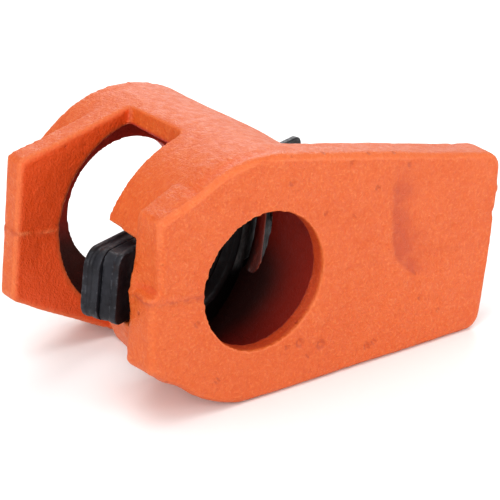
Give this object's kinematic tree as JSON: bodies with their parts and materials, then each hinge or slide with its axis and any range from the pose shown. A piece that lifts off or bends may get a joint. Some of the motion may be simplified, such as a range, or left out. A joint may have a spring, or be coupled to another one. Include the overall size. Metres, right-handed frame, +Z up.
{
  "type": "pipe clamp sliding jaw",
  "caption": "Cast sliding jaw of a pipe clamp: jaw tongue, barrel bored for the pipe, two feet, and tilting clutch plates kept biting by a coil spring.",
  "frame": {"origin": "on the surface the part lies on, under the middle of its bounding box, lying on its side as in the picture", "axes": "+X along the pipe's axis, out of the jaw's pressing face; +Y towards the jaw's tip; +Z up"},
  "size_m": [0.0506, 0.0916, 0.05],
  "materials": {
    "casting_enamel": "orange enamel over rough sand-cast iron, semi-gloss",
    "plate_steel": "black oxide on stamped steel, satin",
    "spring_steel": "drawn spring wire"
  },
  "bodies": {
    "casting": {"jaw_body": "casting_enamel", "clutch_spring": "spring_steel"},
    "front_plate": {"clutch_plate_front": "plate_steel"},
    "rear_plate": {"clutch_plate_rear": "plate_steel"}
  },
  "joints": [
    {"name": "front_plate_tilt", "type": "hinge", "parent": "casting", "child": "front_plate", "pos_m": [-0.0107, 0.00945, 0.02158], "axis": [0, -0.1045, -0.9945], "range_deg": [0, 23.5], "stiffness_Nm_per_rad": 0.085, "springref_deg": -20.05, "deforming": ["clutch_spring"]},
    {"name": "rear_plate_tilt", "type": "hinge", "parent": "casting", "child": "rear_plate", "pos_m": [-0.0107, 0.00945, 0.02158], "axis": [0, -0.1045, -0.9945], "range_deg": [0, 23.5]}
  ],
  "couplings": [
    {"joint": "rear_plate_tilt", "follows": "front_plate_tilt", "ratio": 1}
  ]
}
